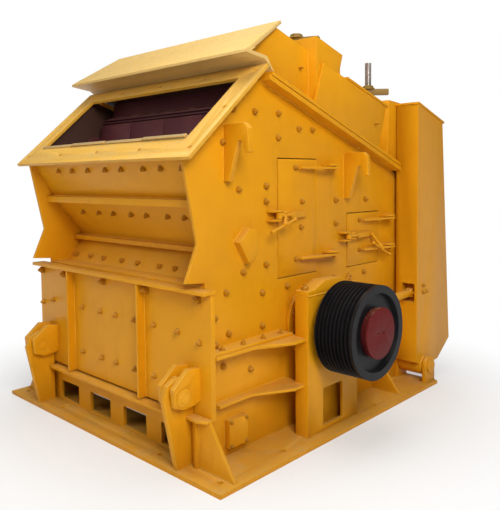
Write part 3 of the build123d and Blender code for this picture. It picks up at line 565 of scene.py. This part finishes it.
pedestalNuts = {"width": 46, "x": 1010, "y": (-318, 144), "z": 932}
coverNuts = {"width": 20, "face": 892, "y": (-852, -728), "z": (230, 90)}
sealNuts = {"width": 24, "face": 872, "centre": (-87, 689), "circle": 195, "count": 8}
flangeNuts = {"width": 30, "x": 905, "z": 670, "y": (-930, -760, -590, -430, 260, 420)}
pinCoverNuts = {"width": 26, "face": 1063, "points": [(1095, 783), (1095, 729), (1145, 731)]}
seamNuts = {"width": 34, "x": 896, "y": (-450, -330, -210), "above": 30.4, "facing": (0, -0.3287, 0.9444)}
ring = [math.pi * (k + 0.5) * 2 / sealNuts["count"] for k in range(sealNuts["count"])]
for side in bothSides:
    outward = (side, 0, 0)
    addNuts("frame", (0, 0, 1), pedestalNuts["width"],
            [(side * pedestalNuts["x"], y, pedestalNuts["z"]) for y in pedestalNuts["y"]])
    addNuts("frame", outward, coverNuts["width"],
            [(side * coverNuts["face"], y, z) for z in coverNuts["z"] for y in coverNuts["y"]])
    y, z = sealNuts["centre"]
    addNuts("frame", outward, sealNuts["width"],
            [(side * sealNuts["face"], y + sealNuts["circle"] * math.cos(t), z + sealNuts["circle"] * math.sin(t))
             for t in ring])
    addNuts("frame", (0, 0, 1), flangeNuts["width"],
            [(side * flangeNuts["x"], y, flangeNuts["z"]) for y in flangeNuts["y"]])
    addNuts("rear_housing", outward, pinCoverNuts["width"],
            [(side * pinCoverNuts["face"], y, z) for y, z in pinCoverNuts["points"]])
    addNuts("rear_housing", seamNuts["facing"], seamNuts["width"],
            [(side * seamNuts["x"], y, seamHeight(y, seamNuts["above"])) for y in seamNuts["y"]])
for name, body in (("liner_nuts", "frame"), ("front_door_nuts", "front_door_body"),
                   ("upper_door_nuts", "upper_door_body"), ("lower_door_nuts", "lower_door_body"),
                   ("housing_nuts", "rear_housing")):
    plantNuts(name, body)
print("nuts planted")

beadShape = {
    "Bead Width": 0.0052,   # the bead's radius, in metres
    "Ripple": 0.34,         # how much thinner a ripple may be
    "Pitch": 0.0075,
    "Seed": 3,
}


def beadTree():
    tree, given = newTree("weld_beads", beadShape)
    curve = addNode(tree, "GeometryNodeMeshToCurve", None, {"Mesh": given["Geometry"]})
    even = addNode(tree, "GeometryNodeResampleCurve", {"mode": "LENGTH"}, {
        "Curve": curve.outputs[0], "Length": given["Pitch"]})
    ripple = addNode(tree, "FunctionNodeRandomValue", {"data_type": "FLOAT"}, {
        "Min": 1 - Wire(tree, given["Ripple"]), "Max": 1.0, "Seed": given["Seed"]})
    thick = addNode(tree, "GeometryNodeSetCurveRadius", None, {
        "Curve": even.outputs[0], "Radius": ripple.outputs[1]})
    section = addNode(tree, "GeometryNodeCurvePrimitiveCircle", None, {
        "Resolution": 6, "Radius": given["Bead Width"]})
    swept = addNode(tree, "GeometryNodeCurveToMesh", None, {
        "Curve": thick.outputs[0], "Profile Curve": section.outputs[0], "Fill Caps": True})
    smooth = addNode(tree, "GeometryNodeSetShadeSmooth", None, {"Geometry": swept.outputs[0]})
    return endTree(tree, smooth, given["Finish"])


# runs of weld as chains of points in millimetres
beadRuns = {
    "side": [
        [(wallFace, -1040, plateTop), (wallFace, -865, plateTop)],
        [(wallFace, -715, plateTop), (wallFace, 1045, plateTop)],
        [(1060, -355, plateTop), (1060, 181, plateTop), (960, 181, plateTop)],
        [(960, -355, plateTop), (1060, -355, plateTop)],
        [(785, -1060, plateTop), (1120, -1060, plateTop)], [(1120, -1040, plateTop), (wallFace, -1040, plateTop)],
        [(wallFace, 700, plateTop), (1090, 700, plateTop)], [(wallFace, 700, plateTop), (wallFace, 700, 230)],
        [(wallFace, -1060, plateTop), (wallFace, -1060, 298)],
        [(wallFace, -1000, 630), (wallFace, -360, 630)], [(wallFace, 190, 630), (wallFace, 1070, 630)],
        [(wallFace, -940, 356), (wallFace, -325, 356)], [(wallFace, -950, 340), (wallFace, -325, 340)],
        [(wallFace, -1000, 670), (wallFace, -362, 670)], [(wallFace, 202, 670), (wallFace, 560, 670)],
        [(960, -355, 630), (1050, -355, 630)], [(960, -355, 356), (1030, -355, 356)],
        [(wallFace, -540, seamHeight(-540, -30)), (wallFace, 985, seamHeight(985, -30))],
        [(wallFace, -850, 1612), (wallFace, -850, 1918)], [(wallFace, -815, 1612), (wallFace, -815, 1918)],
        [(wallFace, 330, 1482), (wallFace, 330, 1788)], [(wallFace, 365, 1482), (wallFace, 365, 1788)],
        [(wallFace, -778, 1260), (wallFace, -692, 1337), (wallFace, -628, 1324), (wallFace, -624, 1195),
         (wallFace, -692, 1127), (wallFace, -778, 1260)],
        [(745, -1163, plateTop), (785, -1163, plateTop), (785, -1062, plateTop)],
        [(745, -1163, plateTop), (745, -1045, plateTop)],
        [(1085, 1045, plateTop), (1115, 1045, plateTop), (1115, 1195, plateTop), (1085, 1195, plateTop)],
        [(1060, -355, 905), (1060, 181, 905)],
        [(wallFace, -865, 78), (wallFace, -865, 242), (wallFace, -715, 242), (wallFace, -715, 78)],
    ],
    "centre": [
        [(-822, -1080, 265), (-790, -1080, 265)],
        [(-820, -943, 1462), (820, -943, 1462)], [(-820, -981, 1513), (820, -981, 1513)],
        [(-820, -760, 1217), (820, -760, 1217)], [(-820, -753, 1179), (820, -753, 1179)],
        [(-735, -1020, 265), (735, -1020, 265)], [(-735, -1020, plateTop), (735, -1020, plateTop)],
        [(-822, 1025, plateTop), (822, 1025, plateTop)], [(-822, 1025, 610), (822, 1025, 610)],
    ],
    "housing": [
        [(roofFace, -505, seamHeight(-505, 31)), (roofFace, -60, seamHeight(-60, 31))],
        [(roofFace, -58, seamHeight(-58, 34)), (roofFace, -58, seamHeight(-58, 380))],
    ],
    "door": [[(x, doorFace, 302), (x, doorFace, 998)] for x in (-478, -462, 322, 338)] + [
        [(-928, doorFace, 1000), (928, doorFace, 1000)]],
}
beads = beadTree()


def mirrored(chains):
    return chains + [[(-x, y, z) for x, y, z in chain] for chain in chains]


def layBeads(name, chains, body):
    points, edges = [], []
    for chain in chains:
        start = len(points)
        points += [Vector(p) / 1000 for p in chain]
        edges += [(start + k, start + k + 1) for k in range(len(chain) - 1)]
    mesh = bpy.data.meshes.new(name)
    mesh.from_pydata(points, edges, [])
    seat(grown(name, mesh, beads, {**beadShape, "Finish": paint["edge"]}), body)


layBeads("frame_weld_beads", mirrored(beadRuns["side"]) + beadRuns["centre"], "frame")
layBeads("housing_weld_beads", mirrored(beadRuns["housing"]), "rear_housing")
layBeads("door_weld_beads", beadRuns["door"], "front_door_body")
print("weld beads laid")

# screw clamps of the inspection doors, each with a T handle, in millimetres
clamp = {
    "softened": 1.5,
    "lugThickness": 12,
    "lugReach": 26,         # from the clamp's middle to a lug's outer face
    "lugOutline": [(850, 6), (850, 74), (884, 66), (900, 34), (884, 8)],       # X, Y from the door's edge
    "screwX": 886,
    "screwRadius": 13,
    "screwEnds": (-34, 92),
    "pivot": 20,            # radius and half height of the pin that the screw swings on
    "stem": [(0, 12), (0.7, 12), (0.75, 17), (1, 17)],
    "handleRadius": 8.5,
    # share of the way along the handle, share of its radius
    "handleShape": [(0, 0.8), (0.01, 1.5), (0.06, 1.5), (0.08, 1), (0.92, 1), (0.94, 1.5), (0.99, 1.5), (1, 0.8)],
    "keeperOutline": [(847, -112), (847, -12), (900, -18), (908, -40), (896, -104)],
    "keeperFeet": (-34, 22),
    "keeperThickness": 12,
    # edge: the door's front edge in Y, middle: the clamp's height
    "upper": {"edge": -380, "middle": 1396, "armEnd": -130, "stemFoot": -345,
              "handle": ((925, -530, 1300), (925, -300, 1372))},
    "lower": {"edge": 372, "middle": 1213, "armEnd": 655, "stemFoot": 640,
              "handle": ((925, 590, 1152), (925, 830, 1040))},
}


def fromEdge(outline, edge):
    return [(x, edge + y) for x, y in outline]


def doorClamp(which):
    door = clamp[which]
    edge, middle, armEnd = door["edge"], door["middle"], door["armEnd"]
    bm = bmesh.new()
    for z in (middle - clamp["lugReach"], middle + clamp["lugReach"] - clamp["lugThickness"]):
        prism(bm, fromEdge(clamp["lugOutline"], edge), z, z + clamp["lugThickness"])
    arm = [(852, edge + 78), (852, armEnd), (872, armEnd), (896, edge + 110), (896, edge + 78)]
    prism(bm, arm, middle - 22, middle + 18)
    screwX, pivot = clamp["screwX"], clamp["pivot"]
    near, far = (edge + reach for reach in clamp["screwEnds"])
    rod(bm, (screwX, near, middle), (screwX, far, middle), [(0, clamp["screwRadius"]), (1, clamp["screwRadius"])])
    rod(bm, (screwX, near, middle - pivot), (screwX, near, middle + pivot), [(0, pivot), (1, pivot)])
    a, b = (Vector(end) for end in door["handle"])
    rod(bm, (880, door["stemFoot"], middle), (a + b) / 2 + Vector((10, 0, 0)), clamp["stem"])
    rod(bm, a, b, [(share, clamp["handleRadius"] * radius) for share, radius in clamp["handleShape"]], 16)
    piece = meshPiece(which + "_screw_clamp", bm, paint["yellow"])
    rounded(piece, clamp["softened"])
    seat(settle(piece), which + "_door_body")
    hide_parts(which + "_door_clamp")


keepers = bmesh.new()
for which in ("upper", "lower"):
    doorClamp(which)
    for foot in clamp["keeperFeet"]:
        z = clamp[which]["middle"] + foot
        prism(keepers, fromEdge(clamp["keeperOutline"], clamp[which]["edge"]), z, z + clamp["keeperThickness"])
keeperPiece = meshPiece("clamp_keepers", keepers, paint["yellow"])
rounded(keeperPiece, clamp["softened"])
seat(settle(keeperPiece), "frame")
print("door clamps made")

# locking rods through the roof plates: X from and to, Y, Z
lockingRod = {"profile": [(0, 8), (0.9, 8), (1, 6)], "sides": 12,
              "seats": ((815, 868, -150, 2330), (915, 968, 600, 2012))}
lockRods = bmesh.new()
for side in bothSides:
    for inner, outer, y, z in lockingRod["seats"]:
        rod(lockRods, (side * inner, y, z), (side * outer, y, z), lockingRod["profile"], lockingRod["sides"])
seat(meshPiece("locking_rods", lockRods, paint["nut"]), "rear_housing")

# collars on the pins of the front door
pinCollar = {"y": -1155, "z": 445, "inner": 835.5, "outer": 848.5, "sides": 36,
             "profile": [(0, 48), (0.45, 48), (0.6, 43), (0.6, 31), (1, 29)]}
collars = bmesh.new()
for side in bothSides:
    ends = [(side * x, pinCollar["y"], pinCollar["z"]) for x in (pinCollar["inner"], pinCollar["outer"])]
    rod(collars, *ends, pinCollar["profile"], pinCollar["sides"])
seat(meshPiece("pin_collars", collars, paint["edge"]), "frame")
print("rods and collars made")

# threaded spindles that hang the impact apron
spindle = {
    "radius": 26.0, "depth": 2.6, "pitch": 7.0, "x": 620.0, "sides": 28,
    # Y, top of the crossbar, top and foot of the thread
    "seats": ((90.0, 2545.0, 2618.0, 2500.0), (1000.0, 2285.0, 2538.0, 2205.0)),
    "nutWidth": 86, "nutLift": 44,
    "nutShape": {**nutShape, "Stud Height": 0.002, "Nut Height": 0.24},
}
threads = bmesh.new()
crest, root = spindle["radius"], spindle["radius"] - spindle["depth"]
for x in (-spindle["x"], spindle["x"]):
    for y, bar, top, foot in spindle["seats"]:
        turns = int((top - foot) / spindle["pitch"])
        profile = [(0, root)]
        for k in range(turns):
            profile += [((k + 0.25) / turns, crest), ((k + 0.55) / turns, crest), ((k + 0.8) / turns, root)]
        profile += [(1, crest - 5)]
        rod(threads, (x, y, foot), (x, y, top), profile, spindle["sides"])
threadPiece = meshPiece("threaded_spindles", threads, metal["shaft"])
seat(threadPiece, "rear_housing")
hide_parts("apron_spindles")
for side in bothSides:
    addNuts("rear_housing", (0, 0, 1), spindle["nutWidth"],
            [(side * spindle["x"], y, bar + spindle["nutLift"]) for y, bar, top, foot in spindle["seats"]])
plantNuts("spindle_nuts", "rear_housing", spindle["nutShape"], paint["brown"])
print("spindles cut")

studio = {
    "floorReach": 30,                   # metres from the middle to the floor's edge
    "floorTones": ((0.84, 0.84, 0.83), (0.88, 0.88, 0.87)),
    "floorWhite": 0.35,                 # how white the floor looks beside the machine
    "whiteFrom": (1.4, 2.8),            # metres over which it turns wholly white
    "skyTone": (0.93, 0.96, 1.0),
    "skyStrength": 0.24,
}


def rays(tree, *kinds):
    # 1 for the kinds of ray named, 0 for the others
    path = tree.nodes.new("ShaderNodeLightPath")
    first, *others = (Wire(tree, path.outputs[kind]) for kind in kinds)
    for other in others:
        first = first.maths("MAXIMUM", first, other)
    return first


def blendInto(tree, share, first, second, output):
    blend = addNode(tree, "ShaderNodeMixShader", None, {"Fac": share, 1: first, 2: second})
    tree.links.new(blend.outputs[0], output)


def floorFinish():
    f = Finish("pale_floor")
    speck = f.noise(30.0, 3)
    f.feed(Base_Color=f.mix(speck, *studio["floorTones"]), Roughness=0.7 + speck * 0.1)
    white = f.tree.nodes.new("ShaderNodeEmission")
    away = f.node("ShaderNodeVectorMath", {"operation": "LENGTH"}, {"Vector": f.point}, 1)
    near = studio["floorWhite"]
    share = near + f.step(away, *studio["whiteFrom"]) * (1 - near)
    share = share * rays(f.tree, "Is Camera Ray", "Is Glossy Ray")
    blendInto(f.tree, share, f.shader.outputs[0], white.outputs[0], f.tree.nodes["Material Output"].inputs[0])
    return f.material


reach = studio["floorReach"]
floorMesh = bpy.data.meshes.new("floor")
floorMesh.from_pydata([(-reach, -reach, 0), (reach, -reach, 0), (reach, reach, 0), (-reach, reach, 0)],
                      [], [(0, 1, 2, 3)])
floorMesh.materials.append(floorFinish())
link(bpy.data.objects.new("floor", floorMesh))

world = scene.world or bpy.data.worlds.new("studio")
scene.world = world
world.use_nodes = True
sky = world.node_tree
sky.nodes.clear()
ambient = addNode(sky, "ShaderNodeBackground", None, {
    "Color": studio["skyTone"], "Strength": studio["skyStrength"]})
plain = addNode(sky, "ShaderNodeBackground", None, {"Color": (1, 1, 1), "Strength": 1.0})
blendInto(sky, rays(sky, "Is Camera Ray", "Is Transmission Ray"), ambient.outputs[0], plain.outputs[0],
          sky.nodes.new("ShaderNodeOutputWorld").inputs[0])

lamps = {
    # name: (place, what it looks at, width, watts, colour)
    "key": ((4.9, -2.9, 4.3), (0.6, 0.0, 1.1), 2.4, 255.0, (1.0, 0.97, 0.92)),
    "front": ((-2.6, -6.2, 3.4), (0.0, -0.8, 1.2), 3.5, 70.0, (1.0, 0.98, 0.95)),
    "top": ((0.2, -0.6, 6.2), (0.0, 0.0, 2.0), 3.5, 190.0, (1.0, 1.0, 1.0)),
    "back": ((-3.5, 5.5, 4.0), (0.0, 0.5, 1.3), 3.5, 90.0, (0.95, 0.97, 1.0)),
}
for name, (spot, target, width, watts, tint) in lamps.items():
    lamp = bpy.data.lights.new(name, "AREA")
    lamp.size, lamp.energy, lamp.color = width, watts, tint
    holder = link(bpy.data.objects.new(name, lamp))
    holder.location = spot
    holder.rotation_euler = (Vector(target) - Vector(spot)).to_track_quat("-Z", "Y").to_euler()

view = {
    "place": (3.32104, -3.25768, 1.62813),
    "yaw": 43.32, "pitch": 3.394, "roll": -0.490,      # degrees: left of +Y, down, and about the axis
    "focal": 610.43, "horizon": 214.23,                # in pixels of the 500 by 510 frame
    "longSide": 510, "sensor": 36,
}
yaw, pitch, roll = (math.radians(view[k]) for k in ("yaw", "pitch", "roll"))
forward = Vector((-math.sin(yaw) * math.cos(pitch), math.cos(yaw) * math.cos(pitch), -math.sin(pitch)))
right = Vector((math.cos(yaw), math.sin(yaw), 0))
up = right.cross(forward)
across = math.cos(roll) * right + math.sin(roll) * up
above = math.cos(roll) * up - math.sin(roll) * right
lens = bpy.data.cameras.new("photo_view")
lens.lens = view["focal"] / view["longSide"] * view["sensor"]
lens.sensor_width, lens.sensor_fit = view["sensor"], "AUTO"
lens.shift_y = (view["horizon"] - view["longSide"] / 2) / view["longSide"]
camera = link(bpy.data.objects.new("photo_view", lens))
camera.matrix_world = Matrix.Translation(view["place"]) @ Matrix((across, above, -forward)).transposed().to_4x4()
scene.camera = camera
scene.view_settings.view_transform = "Standard"
print("stage set")
